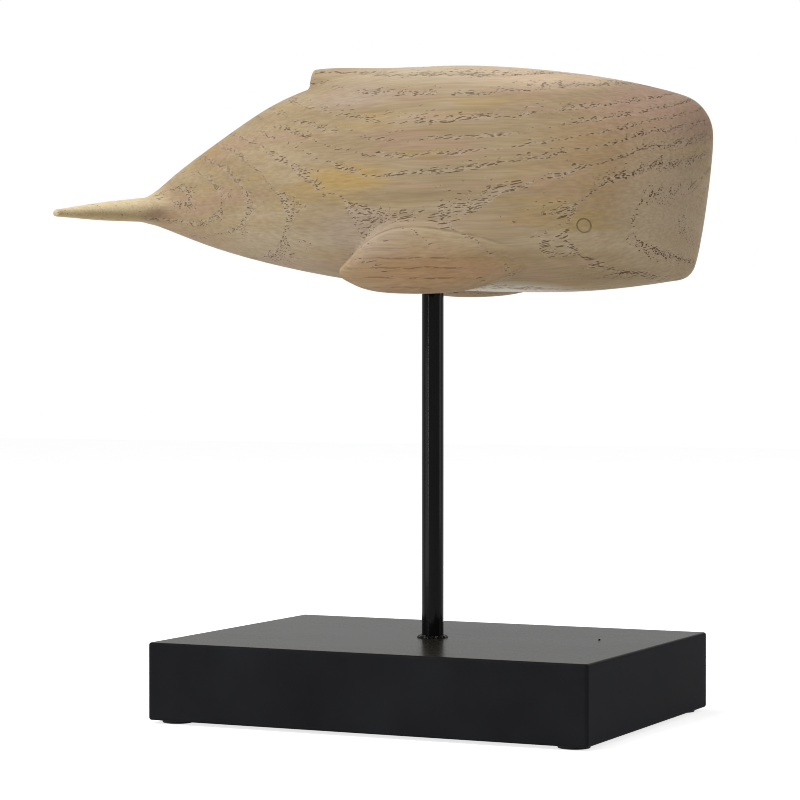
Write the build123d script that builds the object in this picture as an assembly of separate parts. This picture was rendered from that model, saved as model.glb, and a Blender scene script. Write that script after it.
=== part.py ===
from build123d import *
import math
import os

# Whale figurine on a rod and a block base. Millimetres, +Z up, the whale's head towards +X.
# The origin is on the surface that the pads stand on, straight below the centre of the base and rod.

# Base block
base_length = 212.0
base_width = 153.0
base_height = 35.0
base_corner_radius = 1.8
base_edge_radius = 1.2

# Felt pads under the base
pad_diameter = 14.0
pad_thickness = 1.5
pad_inset = 3.0
pad_edge_radius = 0.4
middle_pad_diameter = 27.0

# Rod, from its socket in the base to its bore in the whale's belly
rod_diameter = 10.0
rod_clear_height = 157.4
rod_socket_depth = 18.0
rod_bore_depth = 38.0
rod_end_chamfer = 0.8
rod_fit = 0.12
rod_end_gap = 1.0
socket_mouth_chamfer = 1.2

# Screw and washer that pull the rod down into its socket from below
screw_diameter = 6.0
screw_reach = 14.0
screw_head_diameter = 11.0
screw_head_height = 3.2
screw_key_width = 4.0
screw_key_depth = 2.0
washer_diameter = 17.0
washer_thickness = 1.6
thread_fit = 0.1
screw_hole_fit = 0.4
tap_runout = 3.0
crown_share = 0.6
recess_depth = 8.0
recess_fit = 1.0

# Whale's body, from the middle of the tail's notch to the nose
body_length = 286.9
body_height = 104.0
body_width = 84.0
nose_ahead_of_rod = 130.9
brow_radius = 20.0
chin_radius = 9.0
body_stations = 24
last_station_angle = 89.3

# Flukes, each from the middle of the tail to its tip
fluke_span = 55.0
fluke_chord = 27.5
fluke_thickness = 13.0
fluke_stations = 16
fluke_last_angle = 85.0
fluke_droop = 4.2
fluke_height_share = 0.407
fluke_ahead = 15.0
fluke_overlap = 1.0
fluke_root_radius = 6.0
notch_depth = 1.0

# Pectoral fins
fin_length = 106.0
fin_width = 32.0
fin_thickness = 17.0
fin_tilt = 22.0
fin_toe_in = 9.5
fin_centre_ahead = 24.5
fin_centre_out = 32.0
fin_centre_up = 14.6
fin_stations = 20
fin_last_angle = 84.0
fin_root_radius = 4.5

# Dorsal ridge
ridge_length = 66.0
ridge_rise = 9.1
ridge_width = 13.0
ridge_root = 9.0
ridge_behind_rod = 61.0
ridge_rim_radius = 1.6
ridge_foot_radius = 3.0

# Eye rings
eye_ahead_of_rod = 88.0
eye_height = 27.6
eye_ring_diameter = 5.9
eye_groove_width = 0.7

overrun = 5.0

# Heights and radii that the pieces share
base_bottom = pad_thickness
base_top = base_bottom + base_height
socket_floor = base_top - rod_socket_depth
recess_ceiling = base_bottom + recess_depth
belly = base_top + rod_clear_height
bore_end = belly + rod_bore_depth
rod_radius = rod_diameter / 2
screw_radius = screw_diameter / 2
washer_radius = washer_diameter / 2
from_below = (Align.CENTER, Align.CENTER, Align.MIN)

# Side outline of the body, as shares of its length and height: the back from the tail to the brow
# corner, then the belly from the chin corner to the tail.
back_shares = [
    (0.000, 0.458), (0.060, 0.535), (0.140, 0.673), (0.190, 0.751), (0.240, 0.826), (0.330, 0.922),
    (0.450, 0.982), (0.580, 0.996), (0.720, 0.964), (0.860, 0.901), (0.950, 0.837), (1.019, 0.768),
]
belly_shares = [
    (0.980, 0.053), (0.900, 0.025), (0.800, 0.003), (0.700, 0.002), (0.560, 0.018),
    (0.400, 0.067), (0.250, 0.147), (0.120, 0.248), (0.050, 0.316), (0.000, 0.352),
]
# Plan outline of one side of the body, as shares of its length and half its width: from the tail to
# where the rounded nose begins.
flank_shares = [
    (0.000, 0.120), (0.100, 0.280), (0.200, 0.500), (0.330, 0.760), (0.500, 0.945), (0.682, 1.000),
]

# How far up a section of the body its widest place is, and how square the section's quarters are.
widest_level_share = 0.47
middle_height_share = 0.42
upper_squareness_share = 0.62
lower_squareness_share = 0.68
nose_squareness_share = 0.62

# Plan outline of a fluke, as shares of its span and chord: the leading edge, then the trailing edge.
leading_shares = [(0.00, -0.75), (0.14, -0.36), (0.28, -0.03), (0.50, 0.31), (0.75, 0.63), (0.95, 0.93)]
trailing_shares = [(0.95, 1.10), (0.75, 1.03), (0.50, 0.96), (0.25, 0.86), (0.00, 0.72)]
# Half thickness of a fluke, as shares of its span and thickness.
blade_shares = [(0.00, 0.50), (0.25, 0.41), (0.50, 0.335), (0.75, 0.23), (0.95, 0.135)]

# Side outline of a pectoral fin, as shares of its length and width, from its rear tip to its front
# end: the upper edge, then the lower edge.
fin_upper_shares = [
    (0.02, -0.08), (0.10, 0.18), (0.20, 0.40), (0.32, 0.50), (0.48, 0.49), (0.72, 0.41), (0.94, 0.24),
]
fin_lower_shares = [
    (0.94, -0.04), (0.80, -0.20), (0.66, -0.37), (0.52, -0.47), (0.39, -0.50),
    (0.25, -0.495), (0.11, -0.43), (0.02, -0.28),
]
# Half thickness of a pectoral fin, as shares of its length and thickness.
fin_plan_shares = [(0.02, 0.20), (0.17, 0.42), (0.36, 0.50), (0.65, 0.46), (0.94, 0.26)]

# How much higher than the back the dorsal ridge is, as shares of its length and rise, from its rear.
ridge_shares = [(0.00, 1.00), (0.20, 0.70), (0.45, 0.33), (0.72, 0.10), (1.00, 0.00)]


def ends_across(face, plane):
    """The two end points of the line in which a plane cuts a face."""
    points = [v.center() for edge in face.intersect(plane).edges() for v in edge.vertices()]
    up = plane.y_dir
    points.sort(key=lambda point: point.dot(up))
    return points[0], points[-1]


def quarter(centre, side, rise, squareness):
    """A quarter of a rounded outline, from the end of side to the end of rise."""
    start, end = centre + side, centre + rise
    return Bezier(start, start + rise * squareness, end + side * squareness, end)


def section_between(profile, plan, place):
    """A rounded section in the plane place, as tall as the profile and as wide as the plan there."""
    bottom, top = ends_across(profile, place)
    level = bottom + (top - bottom) * widest_level_share
    upright = Plane(origin=place.origin, x_dir=(0, 0, 1), z_dir=(1, 0, 0))
    right, left = ends_across(plan, upright)
    middle = Vector(level.X, (right.Y + left.Y) / 2, level.Z)
    side = Vector(0, (left.Y - right.Y) / 2, 0)
    rise, drop = top - level, bottom - level
    upper, lower = upper_squareness_share, lower_squareness_share
    return Wire([
        quarter(middle, side, rise, upper),
        quarter(middle, -side, rise, upper),
        quarter(middle, -side, drop, lower),
        quarter(middle, side, drop, lower),
    ])


def body_point(along_share, height_share):
    """A point of the body's middle plane."""
    x = nose_ahead_of_rod - body_length * (1 - along_share)
    return Vector(x, 0, belly + body_height * height_share)


def body_profile():
    """The body's side outline, with the brow and chin rounded."""
    back = Spline(*[body_point(*share) for share in back_shares])
    under = Spline(*[body_point(*share) for share in belly_shares])
    front = Line(back @ 1, under @ 0)
    end = Line(under @ 1, back @ 0)
    outline = Face(Wire([back, front, under, end]))
    brow = outline.vertices().sort_by(Axis.X)[-1]
    outline = outline.fillet_2d(brow_radius, [brow])
    chin = outline.vertices().sort_by_distance(under @ 0)[0]
    return outline.fillet_2d(chin_radius, [chin])


def body_plan():
    """The body's plan outline, with a rounded nose."""
    half_width = body_width / 2
    flank = [Vector(body_point(along, 0).X, half_width * out) for along, out in flank_shares]
    shoulder = flank[-1]
    side = Spline(*flank, tangents=[flank[1] - flank[0], Vector(1, 0)])
    ahead = Vector(nose_ahead_of_rod - shoulder.X, 0)
    nose = quarter(Vector(shoulder.X, 0), Vector(0, half_width), ahead, nose_squareness_share)
    middle = Line((flank[0].X, 0), (nose_ahead_of_rod, 0))
    end = Line((flank[0].X, 0), flank[0])
    half = Face(Wire([side, nose, middle, end]))
    return half + half.mirror(Plane.XZ)


def make_body(profile, plan):
    """The body without its ridge, flukes and fins: its sections lean more and more towards the nose."""
    brow_corner, chin_corner = body_point(*back_shares[-1]), body_point(*belly_shares[0])
    nose_lean = math.atan2(brow_corner.X - chin_corner.X, brow_corner.Z - chin_corner.Z)
    sections = []
    for station in range(body_stations):
        along = math.sin(math.radians(last_station_angle * station / (body_stations - 1)))
        middle = body_point(along, middle_height_share)
        lean = nose_lean * along ** 4
        place = Plane(origin=middle, x_dir=(0, 1, 0), z_dir=(math.cos(lean), 0, -math.sin(lean)))
        sections.append(section_between(profile, plan, place))
    return Solid.make_loft(sections)


def make_fluke():
    """The fluke on the far side: its span runs along X here, and is then turned into place."""
    leading = Spline(*[(fluke_span * out, fluke_chord * back) for out, back in leading_shares])
    trailing = Spline(*[(fluke_span * out, fluke_chord * back) for out, back in trailing_shares])
    tip_middle = (leading @ 1 + trailing @ 0) / 2
    tip = ThreePointArc(leading @ 1, Vector(fluke_span, tip_middle.Y), trailing @ 0)
    plan = Face(Wire([leading, tip, trailing, Line(trailing @ 1, leading @ 0)]))

    upper = Spline(*[(fluke_span * out, fluke_thickness * up) for out, up in blade_shares])
    end = Bezier(upper @ 1, Vector(fluke_span, (upper @ 1).Y), Vector(fluke_span, 0))
    middle = [Line((fluke_span, 0), (0, 0)), Line((0, 0), upper @ 0)]
    half_blade = Face(Wire([upper, end, *middle]))
    blade = Plane.XZ * (half_blade + half_blade.mirror(Plane.XZ))

    sections = []
    for station in range(fluke_stations):
        angle = math.radians(fluke_last_angle * station / (fluke_stations - 1))
        place = Plane(origin=(fluke_span * math.sin(angle), 0, 0), x_dir=(0, 1, 0), z_dir=(1, 0, 0))
        sections.append(section_between(blade, plan, place))
    root = body_point(0, fluke_height_share) + Vector(fluke_ahead, -fluke_overlap, 0)
    return Pos(*root) * Rot(-fluke_droop, 0, 0) * Rot(0, 0, 90) * Solid.make_loft(sections)


def rounded_end(start, end, reach):
    """A rounded end between two points of an outline, that comes as far along X as reach."""
    bulge = Vector((reach - start.X) * 4 / 3, 0)
    return Bezier(start, start + bulge, end + bulge, end)


def make_fin():
    """The pectoral fin on the far side: it is drawn upright along X, and then leant into place."""
    upper = Spline(*[(fin_length * along, fin_width * up) for along, up in fin_upper_shares])
    lower = Spline(*[(fin_length * along, fin_width * up) for along, up in fin_lower_shares])
    front = rounded_end(upper @ 1, lower @ 0, fin_length)
    rear = rounded_end(lower @ 1, upper @ 0, 0)
    outline = Plane.XZ * Face(Wire([upper, front, lower, rear]))

    outer = Spline(*[(fin_length * along, fin_thickness * out) for along, out in fin_plan_shares])
    inner = outer.mirror(Plane.XZ)
    front = rounded_end(outer @ 1, inner @ 1, fin_length)
    rear = rounded_end(inner @ 0, outer @ 0, 0)
    plan = Face(Wire([outer, front, inner, rear]))

    sections = []
    for station in range(fin_stations):
        angle = math.radians(fin_last_angle * (2 * station / (fin_stations - 1) - 1))
        along = fin_length / 2 * (1 + math.sin(angle))
        place = Plane(origin=(along, 0, 0), x_dir=(0, 1, 0), z_dir=(1, 0, 0))
        sections.append(section_between(outline, plan, place))
    fin = Pos(-fin_length / 2, 0, 0) * Solid.make_loft(sections)
    centre = Pos(fin_centre_ahead, fin_centre_out, belly + fin_centre_up)
    return centre * Rot(0, 0, -fin_toe_in) * Rot(-fin_tilt, 0, 0) * fin


def make_ridge(profile):
    """The low ridge along the back, that ends behind in a step."""
    sections = []
    for along, rise in ridge_shares:
        x = ridge_length * along - ridge_behind_rod
        back = ends_across(profile, Plane(origin=(x, 0, 0), x_dir=(0, 1, 0), z_dir=(1, 0, 0)))[1]
        root = back - Vector(0, 0, ridge_root)
        up = Vector(0, 0, ridge_root + ridge_rise * rise)
        side = Vector(0, ridge_width / 2, 0)
        sections.append(Wire([
            quarter(root, side, up, upper_squareness_share),
            quarter(root, -side, up, upper_squareness_share),
            Line(root - side, root + side),
        ]))
    ridge = Solid.make_loft(sections)
    rear_rim = ridge.faces().sort_by(Axis.X)[0].edges().filter_by(GeomType.LINE, reverse=True)
    return ridge.fillet(ridge_rim_radius, rear_rim)


def eye_ring(body, near_side):
    """The ring that is cut round one eye, square to the flank there."""
    outward = Vector(0, -1 if near_side else 1, 0)
    sight_line = Axis((eye_ahead_of_rod, 0, belly + eye_height), outward)
    hits = body.find_intersection_points(sight_line)
    point, normal = max(hits, key=lambda hit: hit[0].dot(outward))
    return Plane(origin=point, z_dir=normal) * Torus(eye_ring_diameter / 2, eye_groove_width / 2)


def with_limbs(whale, limb, root_radius):
    """The whale with a limb on each side, rounded where they meet its flanks."""
    other = limb.mirror(Plane.XZ)
    joined = whale + limb + other
    notch = body_point(0, 0).X + notch_depth
    roots = [edge for edge in new_edges(whale, limb, other, combined=joined) if edge.center().X > notch]
    return joined.fillet(root_radius, roots)


def make_whale():
    """The whale in one piece: body, ridge, flukes and pectoral fins, with its bore for the rod."""
    profile, plan = body_profile(), body_plan()
    body, ridge = make_body(profile, plan), make_ridge(profile)
    whale = body + ridge
    whale = whale.fillet(ridge_foot_radius, new_edges(body, ridge, combined=whale))
    whale = with_limbs(whale, make_fin(), fin_root_radius)
    whale = with_limbs(whale, make_fluke(), fluke_root_radius)
    for near_side in (True, False):
        whale = whale - eye_ring(body, near_side)
    bore_radius = rod_radius + rod_fit
    bore_depth = bore_end + rod_end_gap - base_top
    bore = Pos(0, 0, base_top) * Cylinder(bore_radius, bore_depth, align=from_below)
    return whale - bore


def make_rod():
    """The rod, with chamfered ends and a tapped hole in its lower end."""
    length = bore_end - socket_floor
    rod = Pos(0, 0, socket_floor) * Cylinder(rod_radius, length, align=from_below)
    rod = chamfer(rod.edges().filter_by(GeomType.CIRCLE), rod_end_chamfer)
    tap_depth = screw_reach + tap_runout
    tap = Cylinder(screw_radius + thread_fit, tap_depth, align=from_below)
    return rod - Pos(0, 0, socket_floor) * tap


def make_base():
    """The block, with the rod's socket in its top and the screw's recess in its underside."""
    block = Pos(0, 0, base_bottom) * Box(base_length, base_width, base_height, align=from_below)
    block = fillet(block.edges().filter_by(Axis.Z), base_corner_radius)
    rims = block.faces().sort_by(Axis.Z)
    block = fillet(rims[0].edges() + rims[-1].edges(), base_edge_radius)
    socket_radius = rod_radius + rod_fit
    socket = Cylinder(socket_radius, rod_socket_depth + overrun, align=from_below)
    mouth = Cone(socket_radius, socket_radius + socket_mouth_chamfer + overrun,
                 socket_mouth_chamfer + overrun, align=from_below)
    hole = Cylinder(screw_radius + screw_hole_fit, base_height, align=from_below)
    recess = Cylinder(washer_radius + recess_fit, recess_depth + overrun, align=from_below)
    block -= Pos(0, 0, socket_floor) * socket
    block -= Pos(0, 0, base_top - socket_mouth_chamfer) * mouth
    block -= Pos(0, 0, base_bottom) * hole
    return block - Pos(0, 0, recess_ceiling - recess_depth - overrun) * recess


def make_washer():
    """The washer between the screw's head and the block."""
    ring = Cylinder(washer_radius, washer_thickness, align=from_below)
    ring -= Cylinder(screw_radius + screw_hole_fit, washer_thickness, align=from_below)
    return Pos(0, 0, recess_ceiling - washer_thickness) * ring


def make_screw():
    """The button head screw, from below the washer up into the rod."""
    seat = recess_ceiling - washer_thickness
    shank = Pos(0, 0, seat) * Cylinder(screw_radius, socket_floor + screw_reach - seat, align=from_below)
    head = Pos(0, 0, seat - screw_head_height) * Cylinder(
        screw_head_diameter / 2, screw_head_height, align=from_below)
    crown = head.edges().filter_by(GeomType.CIRCLE).sort_by(Axis.Z)[0]
    head = fillet(crown, screw_head_height * crown_share)
    key = Pos(0, 0, seat - screw_head_height) * extrude(
        RegularPolygon(screw_key_width / 2, 6, major_radius=False), screw_key_depth)
    return head + shank - key


def felt_disc(diameter):
    """A felt pad with its lower edge rounded."""
    disc = Cylinder(diameter / 2, pad_thickness, align=from_below)
    return fillet(disc.edges().filter_by(GeomType.CIRCLE).sort_by(Axis.Z)[0], pad_edge_radius)


def make_pads():
    """The felt pads by name: one at each corner, and a larger one that covers the screw's recess."""
    along = base_length / 2 - pad_inset - pad_diameter / 2
    across = base_width / 2 - pad_inset - pad_diameter / 2
    corners = {"front_near": (1, -1), "front_far": (1, 1), "rear_near": (-1, -1), "rear_far": (-1, 1)}
    pads = {f"felt_pad_{name}": Pos(x * along, y * across, 0) * felt_disc(pad_diameter)
            for name, (x, y) in corners.items()}
    pads["felt_pad_middle"] = felt_disc(middle_pad_diameter)
    return pads


def main():
    parts = {
        "whale_body": make_whale(),
        "support_rod": make_rod(),
        "base_block": make_base(),
        "base_washer": make_washer(),
        "base_screw": make_screw(),
        **make_pads(),
    }
    os.makedirs("parts", exist_ok=True)
    for name, solid in parts.items():
        export_step(solid, f"parts/{name}.step")


main()
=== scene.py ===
import math
import random

import bmesh
import bpy
from mathutils import Euler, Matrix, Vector


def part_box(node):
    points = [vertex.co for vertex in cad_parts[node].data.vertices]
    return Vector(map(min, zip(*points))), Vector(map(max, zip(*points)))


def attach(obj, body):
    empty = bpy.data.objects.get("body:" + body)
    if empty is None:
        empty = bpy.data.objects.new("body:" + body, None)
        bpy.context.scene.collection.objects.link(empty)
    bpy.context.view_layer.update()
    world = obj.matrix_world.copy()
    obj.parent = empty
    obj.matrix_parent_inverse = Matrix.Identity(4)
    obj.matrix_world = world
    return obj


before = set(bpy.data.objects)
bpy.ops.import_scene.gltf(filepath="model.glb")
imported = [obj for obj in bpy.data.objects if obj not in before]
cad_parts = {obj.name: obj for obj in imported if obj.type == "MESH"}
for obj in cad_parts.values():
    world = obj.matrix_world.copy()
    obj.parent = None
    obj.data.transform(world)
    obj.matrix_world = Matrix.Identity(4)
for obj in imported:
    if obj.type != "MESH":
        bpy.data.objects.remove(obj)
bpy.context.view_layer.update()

# Lengths are in metres where nothing else is said
MM = 0.001
BASE_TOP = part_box("base_block")[1][2]

# The whale's growth rings, in millimetres from the pith, and the curve's reach
RING_RADII = (4, 12.5, 18.5, 26, 32, 37, 41, 45, 50, 58, 64, 71)
RING_REACH = 80.0
RING_START = 0.1

# The pith's line, in millimetres for each 100 mm along the whale
PITH_STEP = 0.01
PITH_SIDE, PITH_SWING, SWING_RATE, SWING_START = -8.8, 3.1, 2.73, 1.09
PITH_HEIGHT, PITH_SLOPE, PITH_SAG = 229.5, -6.0, 2.8
TURN_START, PITH_TURN, HEAD_SPREAD = 1.08, -300.0, -0.6

# How the grain drifts: its rate for each millimetre, and its reach in millimetres
SWAY_RATE, SWAY = (0.02, 0.03, 0.03), 2.4
RIPPLE_RATE, RIPPLE = (0.075, 0.05, 0.05), 2.8
GRAIN_RISE = 0.14

# Pores: the cell that each may fill in millimetres, the shares of a ring that they reach,
# and the smallest and largest radius in cells
LONG_PORES = {"cell": (6.6, 0.46, 0.46), "band": (0.02, 0.36), "size": (0.32, 0.48)}
SHORT_PORES = {"cell": (3.4, 0.46, 0.46), "band": (-0.8, 0.6), "size": (0.2, 0.4)}
RAGGED_RATE = (0.4, 1.5, 1.5)
RAGGED_SHIFT, RAGGED_START = (0.3, 0.35, 0.35), (-0.15, -0.17, -0.17)
HEAD_START, HEAD_FULL = 70, 115
HEAD_BOLDNESS = 0.05

# Places on the whale in millimetres, each as its centre and its reach
FIN = ((12, 38, 205), (64, 17, 24))
FIN_ROOT = ((12, 40, 214), (50, 16, 20))
FIN_FACE = ((8, 40, 204), (46, 14, 15))
FLUKE = ((-162, 40, 237), (36, 70, 18))
NOSE = ((130, 4, 226), (20, 30, 26))
CHEEK = ((106, 28, 225), (17, 20, 17))

# The top of the fin's root, as places along and up the whale in millimetres
FIN_CREASE = ((-30, 201), (-18, 212), (-3, 221), (7, 222.5), (27, 220.3), (42, 217), (65, 209))
CREASE_HEIGHT = 25

# The eye's ring in millimetres
EYE = (88, 0, 221.5)
EYE_RADIUS = 2.95

# The wood's colours as a screen shows them, from 0 to 255
DEEP_TAN, TAN, LIGHT_TAN = (163, 142, 110), (172, 152, 120), (182, 163, 133)
ROSE = (178, 148, 127)
YELLOW = (177, 151, 98)
EARLY_WOOD = (184, 167, 150)
FIN_LINE = (108, 74, 50)
# Painted highlight on the pale edge under each fin's crease, and painted shade along the crease
PAINTED_CREASE_HIGHLIGHT = (206, 190, 162)
PAINTED_CREASE_SHADE = (108, 88, 64)
LIME = (212, 192, 160)
PORE = (86, 50, 4)
EYE_RING = (96, 80, 62)

# Centre and reach of each tinted place, how strong its tint is, and the tint. Some tints are the
# wood's own colour; those marked below are painted light and shade.
TINTS_AND_PAINTED_LIGHT = (
    ((12, 38, 203), (60, 20, 14), 0.8, (176, 140, 103)),
    ((16, 42, 214), (40, 20, 7), 0.5, (188, 164, 130)),
    # Grey under the fins: painted shade on their undersides
    ((20, 30, 189), (50, 26, 5), 0.8, (186, 182, 170)),
    # Pale on the belly: painted light, standing in for the floor's bounce
    ((40, 3, 194), (44, 26, 9), 0.95, (250, 244, 228)),
    ((122, 20, 280), (42, 60, 36), 0.75, (180, 150, 134)),
    # Pale along the top of the back, in this row and the next: painted light from above
    ((40, 10, 298), (128, 60, 17), 0.85, (220, 202, 176)),
    ((70, 16, 291), (52, 50, 13), 0.85, (222, 198, 170)),
    ((-30, 30, 283), (34, 30, 9), 0.5, (186, 168, 156)),
    ((-18, 36, 219), (38, 24, 17), 0.65, (178, 161, 146)),
    # Pale low on the flank behind the fins: painted bounce light
    ((-66, 24, 216), (46, 40, 13), 0.55, (190, 174, 150)),
    ((-26, 40, 245), (34, 40, 9), 0.8, (186, 156, 98)),
    # Darker on the flank towards the head: painted shade
    ((95, 40, 250), (46, 60, 30), 0.55, (172, 142, 106)),
    ((118, 16, 228), (28, 40, 50), 0.7, (188, 168, 143)),
    # Pale on the flukes: painted light on their tops
    ((-158, 40, 239), (36, 70, 18), 0.95, (246, 228, 188)),
    ((-154, 30, 231), (30, 50, 4), 0.7, (178, 154, 106)),
    # Darker where the flukes meet the tail: painted shade in the hollow
    ((-138, 10, 232), (15, 12, 6), 0.55, (150, 120, 98)),
)

# The bead of paint round the rod's foot: how far out and how high its section runs,
# and how far its ragged edge and its grain wander, in millimetres
BEAD_SECTION = ((4.9, 0.5), (5.3, 1.2), (6.1, 1.2), (6.9, 0.8), (7.3, 0.1), (7.2, -0.3))
BEAD_STEPS = 96
BEAD_SEED = 7
BEAD_RAGGED_OUT, BEAD_RAGGED_UP = 0.7, 0.5
BEAD_GRAIN_OUT, BEAD_GRAIN_UP = 0.08, 0.12

# The fleck of paint on the base's top, in millimetres
FLECK_PLACE = (74, 20)
FLECK_RADIUS = 0.5
FLECK_LIFT = 0.15
FLECK_SEED = 3

# The photograph's viewpoint, with angles in degrees and the lens in millimetres
CAMERA_AZIMUTH = 25.33
CAMERA_DISTANCE = 1.23684
CAMERA_HEIGHT = 0.16033
CAMERA_SIDE = -0.015
CAMERA_PITCH = 0.699
CAMERA_LENS = 121.5
CAMERA_SENSOR = 36.0
PIXEL_FILTER = 1.0

# The studio. Each light has its place to the right, back and up from the middle,
# how far right it aims, its size, its watts and its colour
MIDDLE = Vector((0, 0, 0.2))
WHITE = (1, 1, 1)
LIGHTS = {
    "key": ((-0.6, 0.25, 1.55), 0.0, (1.1, 1.1), 17.8, (1.0, 0.985, 0.96)),
    "bounce": ((-0.7, 0.35, -0.15), -0.1, (0.6, 0.25), 1.2, WHITE),
    "fill": ((1.4, 0.15, 0.1), 0.0, (0.5, 0.8), 2.6, WHITE),
    "strip": ((-1.2, 1.0, 0.1), 0.0, (0.045, 1.5), 6.5, WHITE),
}
ROOM_LIGHT = 0.27
FLOOR_HALF = 4.0
FLOOR_GLOW = 0.75


def srgb(red, green, blue):
    """A colour as the screen shows it, from 0 to 255, in linear light."""
    linear = []
    for value in (red, green, blue):
        share = value / 255
        linear.append(share / 12.92 if share <= 0.04045 else ((share + 0.055) / 1.055) ** 2.4)
    return (*linear, 1.0)


class Shader:
    """A material with a Principled shader, and short calls that add nodes to it."""

    def __init__(self, name, **settings):
        self.material = bpy.data.materials.new(name)
        self.material.use_nodes = True
        self.tree = self.material.node_tree
        self.surface = self.tree.nodes["Principled BSDF"]
        for socket, value in settings.items():
            self.surface.inputs[socket.replace("_", " ")].default_value = value

    def node(self, kind, *inputs, **settings):
        """A new node with these settings, its inputs fed in their order."""
        node = self.tree.nodes.new("ShaderNode" + kind)
        for name, value in settings.items():
            setattr(node, name, value)
        for socket, value in zip(node.inputs, inputs):
            self.feed(socket, value)
        return node

    def feed(self, socket, value):
        """Links another node's output to the socket, or sets it to a constant."""
        if isinstance(value, bpy.types.NodeSocket):
            self.tree.links.new(value, socket)
        elif value is not None:
            socket.default_value = value

    def set(self, socket, value):
        self.feed(self.surface.inputs[socket], value)

    def math(self, operation, *inputs):
        return self.node("Math", *inputs, operation=operation).outputs[0]

    def vector(self, operation, *inputs):
        return self.node("VectorMath", *inputs, operation=operation).outputs[0]

    def length(self, vector):
        return self.node("VectorMath", vector, operation="LENGTH").outputs["Value"]

    def split(self, vector):
        return self.node("SeparateXYZ", vector).outputs

    def join(self, x, y, z):
        return self.node("CombineXYZ", x, y, z).outputs[0]

    def millimetres(self):
        """Where the shaded point is on the part, in millimetres."""
        place = self.node("TexCoord").outputs["Object"]
        return self.vector("MULTIPLY", place, (1000, 1000, 1000))

    def noise(self, place, sizes, detail=2.0, roughness=0.5, offset=0.0):
        """Smooth noise from 0 to 1 whose blobs are about as large as sizes."""
        rates = tuple(1 / size for size in sizes)
        spot = self.vector("MULTIPLY_ADD", place, rates, (offset, offset, offset))
        return self.node("TexNoise", spot, None, 1.0, detail, roughness).outputs[0]

    def drift(self, place, rates, detail):
        """Three smooth noises from 0 to 1 as one vector."""
        spot = self.vector("MULTIPLY", place, rates)
        return self.node("TexNoise", spot, None, 1.0, detail).outputs["Color"]

    def between(self, value, low, high, bottom=0.0, top=1.0):
        """The value's way from low to high, smoothed, as bottom to top."""
        settings = {"interpolation_type": "SMOOTHSTEP"}
        return self.node("MapRange", value, low, high, bottom, top, **settings).outputs[0]

    def spread(self, noise, bottom, top):
        """Noise over the range that it mostly keeps to, as bottom to top."""
        return self.between(noise, 0.3, 0.7, bottom, top)

    def ramp(self, value, *stops):
        """A colour from stops, each a position and a colour, the outermost two first."""
        node = self.node("ValToRGB", value)
        points = node.color_ramp.elements
        for point, (position, colour) in zip(points, stops):
            point.position, point.color = position, colour
        for position, colour in stops[2:]:
            points.new(position).color = colour
        return node.outputs[0]

    def shades(self, noise, first, second):
        """Noise over the range that it mostly keeps to, as one colour to another."""
        return self.ramp(noise, (0.3, first), (0.7, second))

    def curve(self, value, *points):
        """The value carried along a smooth curve through points that lie from 0 to 1."""
        node = self.node("FloatCurve", 1.0, value)
        line = node.mapping.curves[0].points
        line[0].location, line[1].location = points[0], points[-1]
        for point in points[1:-1]:
            line.new(*point)
        node.mapping.update()
        return node.outputs[0]

    def blend(self, share, first, second):
        """A number between two others."""
        return self.math("MULTIPLY_ADD", self.math("SUBTRACT", second, first), share, first)

    def thin(self, value, mask, amount):
        """The value, less this share of it where the mask is 1."""
        return self.math("MULTIPLY", value, self.math("MULTIPLY_ADD", mask, -amount, 1.0))

    def mix(self, share, first, second, blend="MIX"):
        node = self.node("Mix", data_type="RGBA", blend_type=blend)
        self.feed(node.inputs[0], share)
        self.feed(node.inputs[6], first)
        self.feed(node.inputs[7], second)
        return node.outputs[2]

    def cover(self, colour, mask, amount, shade):
        """The colour, covered by this share of a screen colour where the mask is 1."""
        return self.mix(self.math("MULTIPLY", mask, amount), colour, srgb(*shade))

    def bump(self, height, depth, strength):
        """Bump whose full height is depth, in millimetres."""
        node = self.node("Bump", strength, depth * MM)
        self.feed(node.inputs["Height"], height)
        self.set("Normal", node.outputs[0])


def ring_number(shader, place):
    """How many growth rings a place is from the pith, which wanders a little along the wood."""
    x, y, z = shader.split(place)
    along = shader.math("MULTIPLY", x, PITH_STEP)
    turn = shader.math("MAXIMUM", shader.math("SUBTRACT", along, TURN_START), 0.0)
    swing = shader.math("COSINE", shader.math("MULTIPLY_ADD", along, SWING_RATE, SWING_START))
    pith = shader.math("MULTIPLY_ADD", swing, PITH_SWING, PITH_SIDE)
    aside = shader.math("SUBTRACT", y, pith)
    aside = shader.math("MULTIPLY_ADD", shader.math("MULTIPLY", turn, turn), PITH_TURN, aside)
    slope = shader.math("MULTIPLY_ADD", along, PITH_SAG, PITH_SLOPE)
    above = shader.math("SUBTRACT", z, shader.math("MULTIPLY_ADD", along, slope, PITH_HEIGHT))
    above = shader.math("MULTIPLY", above, shader.math("MULTIPLY_ADD", turn, HEAD_SPREAD, 1.0))
    squares = shader.math("MULTIPLY_ADD", aside, aside, shader.math("MULTIPLY", above, above))
    radius = shader.math("DIVIDE", shader.math("SQRT", squares), RING_REACH)
    last = len(RING_RADII) - 1
    points = [(at / RING_REACH, number / last) for number, at in enumerate(RING_RADII)]
    return shader.math("MULTIPLY", shader.curve(radius, *points), last)


def since_ring(shader, place):
    """How much of a year's growth a place is outside the start of its ring, from 0 to 1."""
    number = shader.math("ADD", ring_number(shader, place), RING_START)
    return shader.math("FRACT", number)


def leaned(shader, place, rise):
    """The place lowered by its share of the grain's rise, so that level cells follow the grain."""
    x, _, _ = shader.split(place)
    fall = shader.join(0.0, 0.0, shader.math("MULTIPLY", x, rise))
    return shader.vector("SUBTRACT", place, fall)


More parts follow.
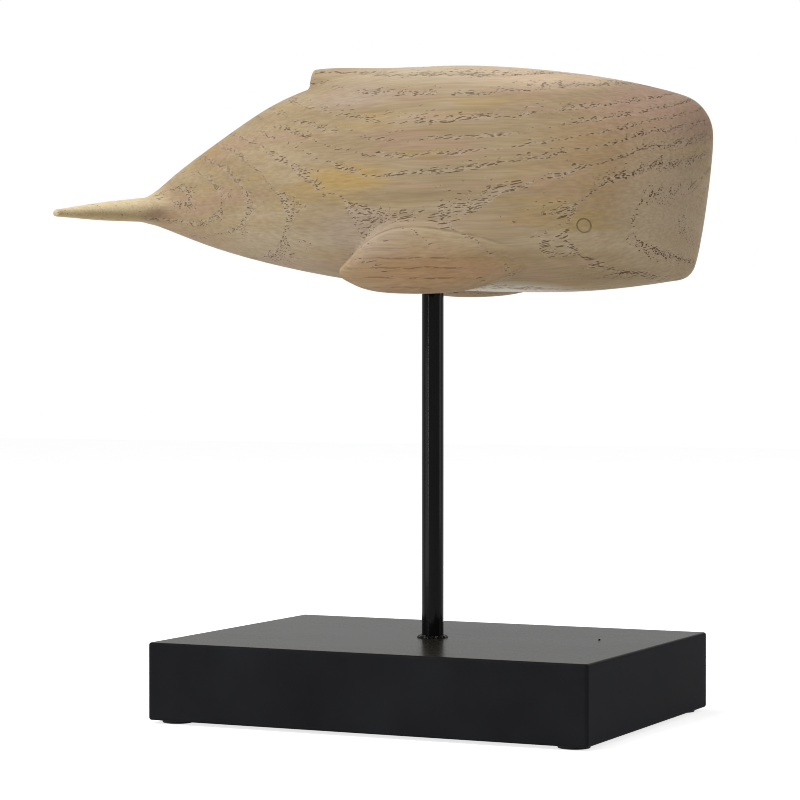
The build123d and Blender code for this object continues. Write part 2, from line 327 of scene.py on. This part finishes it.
def pores(shader, place, share, bold, cell, band, size):
    """Short pores along the grain in the first wood of each ring: how deep, and how limed."""
    ragged = shader.drift(place, RAGGED_RATE, 1.0)
    shift = shader.vector("MULTIPLY_ADD", ragged, RAGGED_SHIFT, RAGGED_START)
    spot = shader.vector("DIVIDE", leaned(shader, place, GRAIN_RISE), cell)
    spot = shader.vector("ADD", spot, shift)
    voronoi = shader.node("TexVoronoi", spot, None, 1.0)
    centre = shader.vector("MULTIPLY", voronoi.outputs["Position"], cell)
    centre = leaned(shader, centre, -GRAIN_RISE)
    chance, other, _ = shader.node("SeparateColor", voronoi.outputs["Color"]).outputs
    reach = shader.math("MULTIPLY_ADD", chance, band[1] - band[0], band[0])
    reach = shader.math("MULTIPLY", reach, share)
    inner = shader.math("SUBTRACT", reach, since_ring(shader, centre))
    present = shader.between(inner, -0.005, 0.005)
    smallest = shader.math("ADD", bold, size[0])
    radius = shader.math("MULTIPLY_ADD", other, size[1] - size[0], smallest)
    inside = shader.math("SUBTRACT", radius, voronoi.outputs["Distance"])
    hole = shader.math("MULTIPLY", shader.between(inside, -0.02, 0.08), present)
    rim = shader.math("MULTIPLY", shader.between(inside, -0.18, -0.04), present)
    return hole, rim


def near(shader, place, centre, reach):
    """1 at a place on either side of the whale, in millimetres, fading to 0 at its reach."""
    height_and_length = shader.vector("MULTIPLY", place, (1, 0, 1))
    either_side = shader.vector("ABSOLUTE", place)
    mirrored = shader.vector("MULTIPLY_ADD", either_side, (0, 1, 0), height_and_length)
    offset = shader.vector("DIVIDE", shader.vector("SUBTRACT", mirrored, centre), reach)
    return shader.between(shader.length(offset), 1.0, 0.3)


def fin_crease_shade_and_highlight(shader, place):
    """The painted shadow line along the top of each fin's root, and the painted highlight on the
    pale edge under it.
    """
    x, _, z = shader.split(place)
    (start, bottom), (end, _) = FIN_CREASE[0], FIN_CREASE[-1]
    length = end - start
    along = shader.math("DIVIDE", shader.math("SUBTRACT", x, start), length)
    points = [((at - start) / length, (up - bottom) / CREASE_HEIGHT) for at, up in FIN_CREASE]
    line = shader.math("MULTIPLY_ADD", shader.curve(along, *points), CREASE_HEIGHT, bottom)
    under = shader.math("SUBTRACT", line, z)
    on_fin = near(shader, place, *FIN_ROOT)
    crease_breakup = shader.between(shader.noise(place, (7, 7, 7)), 0.35, 0.6, bottom=0.35)
    crease_shade = shader.between(shader.math("ABSOLUTE", under), 0.7, 0.1)
    crease_shade = shader.math("MULTIPLY", crease_shade, shader.math("MULTIPLY", crease_breakup, on_fin))
    lip_top, lip_bottom = shader.between(under, 0.5, 1.0), shader.between(under, 2.4, 1.2)
    painted_lip_highlight = shader.math("MULTIPLY", shader.math("MULTIPLY", lip_top, lip_bottom), on_fin)
    return crease_shade, painted_lip_highlight


def fin_lines(shader, place, bent):
    """The broken dark lines that run along each fin."""
    level = shader.math("MULTIPLY", shader.split(bent)[2], 0.23)
    lines = shader.between(shader.math("PINGPONG", level, 0.5), 0.12, 0.03)
    broken = shader.noise(bent, (7, 1.2, 1.2), roughness=0.6, offset=5.0)
    broken = shader.between(broken, 0.42, 0.56)
    on_face = near(shader, place, *FIN_FACE)
    return shader.math("MULTIPLY", lines, shader.math("MULTIPLY", broken, on_face))


def along_grain(shader, place):
    """The place moved by the grain's slow and quick drifts, and by the slow one alone."""
    sway = shader.drift(place, SWAY_RATE, 2.0)
    swayed = shader.vector("MULTIPLY_ADD", sway, (0, SWAY, SWAY), place)
    half = SWAY / 2
    straight = shader.vector("SUBTRACT", swayed, (0, half, half))
    ripple = shader.drift(place, RIPPLE_RATE, 1.0)
    bent = shader.vector("MULTIPLY_ADD", ripple, (0, RIPPLE, RIPPLE), swayed)
    half = (SWAY + RIPPLE) / 2
    return shader.vector("SUBTRACT", bent, (0, half, half)), straight


def crowding(shader, place, bent, head):
    """How thick the pores lie: in patches, thin on the fins and flukes and full on the head."""
    crowd = shader.noise(bent, (20, 8, 8), detail=1.0)
    crowd = shader.between(crowd, 0.36, 0.6, bottom=0.15, top=1.15)
    crowd = shader.thin(crowd, near(shader, place, *FIN), 0.95)
    crowd = shader.thin(crowd, near(shader, place, *FLUKE), 0.75)
    crowd = shader.math("MAXIMUM", crowd, shader.math("MULTIPLY", head, 0.75))
    crowd = shader.thin(crowd, near(shader, place, *NOSE), 0.8)
    return shader.thin(crowd, near(shader, place, *CHEEK), 0.75)


def wood_colour_and_painted_light(shader, place, straight):
    """The wood's colour, with rosy and yellow patches and the tinted places, several of which are
    painted light and shade.
    """
    patch = shader.noise(straight, (60, 24, 9))
    rosy = shader.noise(straight, (75, 30, 13), offset=7.3)
    yellow = shader.noise(straight, (48, 20, 8), offset=3.1)
    stops = (0.32, srgb(*DEEP_TAN)), (0.68, srgb(*LIGHT_TAN)), (0.5, srgb(*TAN))
    colour = shader.ramp(patch, *stops)
    colour = shader.mix(shader.between(rosy, 0.5, 0.64, top=0.5), colour, srgb(*ROSE))
    colour = shader.mix(shader.between(yellow, 0.52, 0.68, top=0.5), colour, srgb(*YELLOW))
    for centre, reach, amount, tint in TINTS_AND_PAINTED_LIGHT:
        colour = shader.cover(colour, near(shader, place, centre, reach), amount, tint)
    return colour


def eye_ring(shader, place):
    """The rings round the eyes."""
    offset = shader.vector("MULTIPLY", shader.vector("SUBTRACT", place, EYE), (1, 0, 1))
    from_ring = shader.math("SUBTRACT", shader.length(offset), EYE_RADIUS)
    return shader.between(shader.math("ABSOLUTE", from_ring), 0.5, 0.1, top=0.5)


def limed_wood():
    """Pale limed wood with an open grain, for the whale."""
    shader = Shader("limed_wood", Roughness=0.62, Specular_IOR_Level=0.2)
    place = shader.millimetres()
    bent, straight = along_grain(shader, place)
    head = shader.between(shader.split(place)[0], HEAD_START, HEAD_FULL)
    crowd = crowding(shader, place, bent, head)
    bold = shader.math("MULTIPLY", head, HEAD_BOLDNESS)
    hole, rim = pores(shader, bent, crowd, bold, **LONG_PORES)
    speck, speck_rim = pores(shader, bent, crowd, bold, **SHORT_PORES)
    hole = shader.math("MAXIMUM", hole, speck)
    rim = shader.math("MAXIMUM", rim, speck_rim)
    crease_shade, painted_lip_highlight = fin_crease_shade_and_highlight(shader, place)
    fibre = shader.noise(straight, (30, 0.9, 0.9), roughness=0.55)

    colour = wood_colour_and_painted_light(shader, place, straight)
    early = shader.between(since_ring(shader, bent), 0.3, 0.0)
    early = shader.math("MULTIPLY", early, shader.between(crowd, 0.4, 1.0, 0.1, 0.5))
    colour = shader.mix(early, colour, srgb(*EARLY_WOOD))
    colour = shader.cover(colour, fin_lines(shader, place, bent), 0.6, FIN_LINE)
    streak = shader.shades(fibre, (0.87, 0.85, 0.82, 1), (1.08, 1.08, 1.08, 1))
    colour = shader.mix(1.0, colour, streak, "MULTIPLY")
    # Painted highlight on the pale lip under the fin's crease, and painted shade along the crease
    colour = shader.cover(colour, painted_lip_highlight, 0.25, PAINTED_CREASE_HIGHLIGHT)
    colour = shader.cover(colour, crease_shade, 0.5, PAINTED_CREASE_SHADE)
    colour = shader.cover(colour, rim, 0.42, LIME)
    colour = shader.cover(colour, hole, shader.between(head, 0.0, 1.0, 0.83, 0.97), PORE)
    colour = shader.mix(eye_ring(shader, place), colour, srgb(*EYE_RING))
    shader.set("Base Color", colour)

    height = shader.math("MULTIPLY_ADD", hole, -1.0, shader.math("MULTIPLY", fibre, 0.07))
    height = shader.math("MULTIPLY_ADD", crease_shade, -0.5, height)
    shader.bump(height, depth=0.4, strength=0.8)
    return shader.material


def satin_black():
    """Satin black paint on the base block, rubbed glossier on its top than down its sides, with a
    darker, warmer tone painted on its top for how the light falls there.
    """
    shader = Shader("satin_black", Specular_IOR_Level=0.014)
    place = shader.millimetres()
    cloud = shader.noise(place, (40, 40, 40), detail=3.0)
    wiped = shader.noise(place, (60, 25, 60))
    facing = shader.split(shader.node("NewGeometry").outputs["Normal"])[2]
    top = shader.between(facing, 0.3, 0.9)
    sides = shader.shades(cloud, srgb(31, 31, 34), srgb(38, 39, 42))
    # The top takes a darker, warmer colour than the sides, painted for how the light falls on it
    shader.set("Base Color", shader.mix(top, sides, srgb(30, 28, 24)))
    side_roughness = shader.spread(cloud, 0.55, 0.62)
    top_roughness = shader.spread(wiped, 0.268, 0.276)
    shader.set("Roughness", shader.blend(top, side_roughness, top_roughness))
    shader.bump(shader.noise(place, (0.8, 0.8, 0.8)), depth=0.02, strength=0.3)
    return shader.material


def gloss_black():
    """Black gloss paint on the rod."""
    shader = Shader("gloss_black", Specular_IOR_Level=0.08)
    place = shader.millimetres()
    cloud = shader.noise(place, (6, 6, 25), detail=3.0)
    shader.set("Base Color", shader.shades(cloud, srgb(10, 10, 10), srgb(15, 15, 15)))
    shader.set("Roughness", shader.spread(cloud, 0.07, 0.1))
    shader.bump(shader.noise(place, (1.5, 1.5, 4)), depth=0.02, strength=0.4)
    return shader.material


def black_chips_and_glints():
    """Thick black paint with pale chips, on the bead at the rod's foot and the fleck; the chips
    also serve as painted highlights.
    """
    shader = Shader("black_chips_and_glints", Specular_IOR_Level=0.03)
    place = shader.millimetres()
    lumps = shader.noise(place, (1.1, 1.1, 1.1), detail=3.0, roughness=0.6)
    # Pale chips of paint, which also stand in as painted highlights on the bead
    chips_and_glints = shader.noise(place, (0.9, 0.9, 0.5), roughness=0.6, offset=4.0)
    chips_and_glints = shader.between(chips_and_glints, 0.6, 0.64, top=0.7)
    shader.set("Base Color", shader.mix(chips_and_glints, srgb(6, 6, 6), srgb(150, 148, 140)))
    shader.set("Roughness", shader.spread(lumps, 0.2, 0.4))
    shader.bump(lumps, depth=0.5, strength=0.8)
    return shader.material


def brushed_steel(name, tint):
    """Zinc plated steel with fine turning marks."""
    shader = Shader(name, Metallic=1.0)
    place = shader.millimetres()
    x, y, z = shader.split(place)
    squares = shader.math("MULTIPLY_ADD", x, x, shader.math("MULTIPLY", y, y))
    from_axis = shader.math("SQRT", squares)
    marks = shader.noise(shader.join(from_axis, z, 0.0), (0.12, 0.3, 1))
    cloud = shader.noise(place, (3, 3, 3), detail=3.0)
    dull = [0.8 * part for part in tint]
    shader.set("Base Color", shader.shades(cloud, (*dull, 1), (*tint, 1)))
    shader.set("Roughness", shader.spread(marks, 0.28, 0.42))
    shader.bump(marks, depth=0.02, strength=0.5)
    return shader.material


def black_felt():
    """Pressed black felt."""
    sheen = {"Sheen_Weight": 0.35, "Sheen_Roughness": 0.6}
    shader = Shader("black_felt", Roughness=0.95, Specular_IOR_Level=0.1, **sheen)
    place = shader.millimetres()
    fibre = shader.noise(place, (0.35, 0.35, 0.35), detail=4.0, roughness=0.7)
    shader.set("Base Color", shader.shades(fibre, srgb(22, 22, 24), srgb(52, 52, 55)))
    shader.bump(fibre, depth=0.4, strength=0.8)
    return shader.material


def dress(node, material):
    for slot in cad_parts[node].material_slots:
        slot.material = material


def new_object(name, data):
    thing = bpy.data.objects.new(name, data)
    bpy.context.scene.collection.objects.link(thing)
    return thing


def place_camera():
    """Sets the photograph's view, and returns the ways right and back in it."""
    turn = math.radians(CAMERA_AZIMUTH)
    back = Vector((math.sin(turn), -math.cos(turn), 0))
    right = Vector((math.cos(turn), math.sin(turn), 0))
    camera = new_object("camera", bpy.data.cameras.new("camera"))
    height = Vector((0, 0, CAMERA_HEIGHT))
    camera.location = right * CAMERA_SIDE + back * CAMERA_DISTANCE + height
    camera.rotation_euler = Euler((math.radians(90 - CAMERA_PITCH), 0, turn))
    camera.data.lens = CAMERA_LENS
    camera.data.sensor_width = CAMERA_SENSOR
    camera.data.clip_start, camera.data.clip_end = 0.05, 50.0
    bpy.context.scene.camera = camera
    return right, back


def area_light(name, place, aim, size, watts, colour):
    light = bpy.data.lights.new(name, "AREA")
    light.shape, light.size, light.size_y = "RECTANGLE", size[0], size[1]
    light.energy, light.color = watts, colour
    lamp = new_object(name, light)
    lamp.location = place
    lamp.rotation_euler = (aim - place).to_track_quat("-Z", "Y").to_euler()


def seen_directly(tree):
    """1 for what the camera sees, straight, mirrored or through glass, and 0 for other light."""
    path = tree.nodes.new("ShaderNodeLightPath")
    seen = path.outputs["Is Camera Ray"]
    for name in ("Is Glossy Ray", "Is Transmission Ray"):
        either = tree.nodes.new("ShaderNodeMath")
        either.operation = "MAXIMUM"
        tree.links.new(seen, either.inputs[0])
        tree.links.new(path.outputs[name], either.inputs[1])
        seen = either.outputs[0]
    return seen


def light_the_room(right, back):
    """A room that looks white and lights the part softly, with four area lights."""
    world = bpy.data.worlds.new("studio")
    bpy.context.scene.world = world
    world.use_nodes = True
    tree = world.node_tree
    background = tree.nodes["Background"]
    background.inputs["Color"].default_value = (1, 1, 1, 1)
    strength = tree.nodes.new("ShaderNodeMapRange")
    strength.inputs["To Min"].default_value = ROOM_LIGHT
    strength.inputs["To Max"].default_value = 1.0
    tree.links.new(seen_directly(tree), strength.inputs["Value"])
    tree.links.new(strength.outputs[0], background.inputs["Strength"])
    up = Vector((0, 0, 1))
    for name, ((aside, behind, above), aim, size, watts, colour) in LIGHTS.items():
        place = MIDDLE + right * aside + back * behind + up * above
        area_light(name, place, MIDDLE + right * aim, size, watts, colour)


def lay_floor():
    """A white floor that is as bright as the room."""
    corners = [(x * FLOOR_HALF, y * FLOOR_HALF, 0) for x, y in ((-1, -1), (1, -1), (1, 1), (-1, 1))]
    mesh = bpy.data.meshes.new("floor")
    mesh.from_pydata(corners, [], [(0, 1, 2, 3)])
    floor = new_object("floor", mesh)
    shader = Shader("white_floor", Roughness=0.9, Specular_IOR_Level=0.0)
    cloud = shader.noise(shader.millimetres(), (90, 90, 90))
    shader.set("Base Color", shader.shades(cloud, srgb(232, 232, 232), srgb(236, 236, 236)))
    shader.set("Emission Color", (1, 1, 1, 1))
    glow = shader.math("MULTIPLY", seen_directly(shader.tree), FLOOR_GLOW)
    shader.set("Emission Strength", glow)
    mesh.materials.append(shader.material)


def smooth_piece(name, mesh, material):
    """A smooth-shaded object from a mesh under construction, which is then freed."""
    data = bpy.data.meshes.new(name)
    mesh.to_mesh(data)
    mesh.free()
    data.shade_smooth()
    data.materials.append(material)
    return new_object(name, data)


def make_bead(paint):
    """The ragged bead of paint and glue round the rod's foot."""
    rng = random.Random(BEAD_SEED)
    mesh = bmesh.new()
    rings = []
    ragged = [rng.uniform(-0.5, 0.5) for _ in range(BEAD_STEPS)]
    for step in range(BEAD_STEPS):
        turn = 2 * math.pi * step / BEAD_STEPS
        rough = (ragged[step] + 0.5 * ragged[step - 1]) / 1.5
        ring = []
        for number, (out, up) in enumerate(BEAD_SECTION):
            share = number / (len(BEAD_SECTION) - 1)
            grain_out = rng.uniform(-BEAD_GRAIN_OUT, BEAD_GRAIN_OUT)
            grain_up = rng.uniform(-BEAD_GRAIN_UP, BEAD_GRAIN_UP)
            out += rough * BEAD_RAGGED_OUT * share + grain_out * share
            up += (rough * BEAD_RAGGED_UP + grain_up) * (1 - share) * (number > 0)
            x, y = out * MM * math.cos(turn), out * MM * math.sin(turn)
            ring.append(mesh.verts.new((x, y, BASE_TOP + up * MM)))
        rings.append(ring)
    for step in range(BEAD_STEPS):
        this, after = rings[step], rings[(step + 1) % BEAD_STEPS]
        for low, high in zip(range(len(this) - 1), range(1, len(this))):
            mesh.faces.new((this[low], this[high], after[high], after[low]))
    bmesh.ops.recalc_face_normals(mesh, faces=mesh.faces)
    bead = smooth_piece("rod_foot_bead", mesh, paint)
    smooth = bead.modifiers.new("smooth", "SUBSURF")
    smooth.levels = smooth.render_levels = 1
    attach(bead, "root")


def make_fleck(paint):
    """The speck of paint that stands on the base's top."""
    rng = random.Random(FLECK_SEED)
    mesh = bmesh.new()
    bmesh.ops.create_icosphere(mesh, subdivisions=3, radius=FLECK_RADIUS * MM)
    x, y = FLECK_PLACE
    middle = Vector((x * MM, y * MM, BASE_TOP + FLECK_LIFT * MM))
    for vertex in mesh.verts:
        vertex.co *= rng.uniform(0.92, 1.08)
        vertex.co.z *= 0.9 if vertex.co.z > 0 else 0.4
        vertex.co += middle
    fleck = smooth_piece("paint_fleck", mesh, paint)
    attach(fleck, "root")


dress("whale_body", limed_wood())
dress("support_rod", gloss_black())
dress("base_block", satin_black())
dress("base_washer", brushed_steel("washer_steel", (0.6, 0.6, 0.61)))
dress("base_screw", brushed_steel("screw_steel", (0.5, 0.5, 0.51)))
felt = black_felt()
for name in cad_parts:
    if name.startswith("felt_pad"):
        dress(name, felt)

paint = black_chips_and_glints()
make_bead(paint)
make_fleck(paint)

right, back = place_camera()
light_the_room(right, back)
lay_floor()
bpy.context.scene.view_settings.view_transform = "Standard"
bpy.context.scene.cycles.filter_width = PIXEL_FILTER
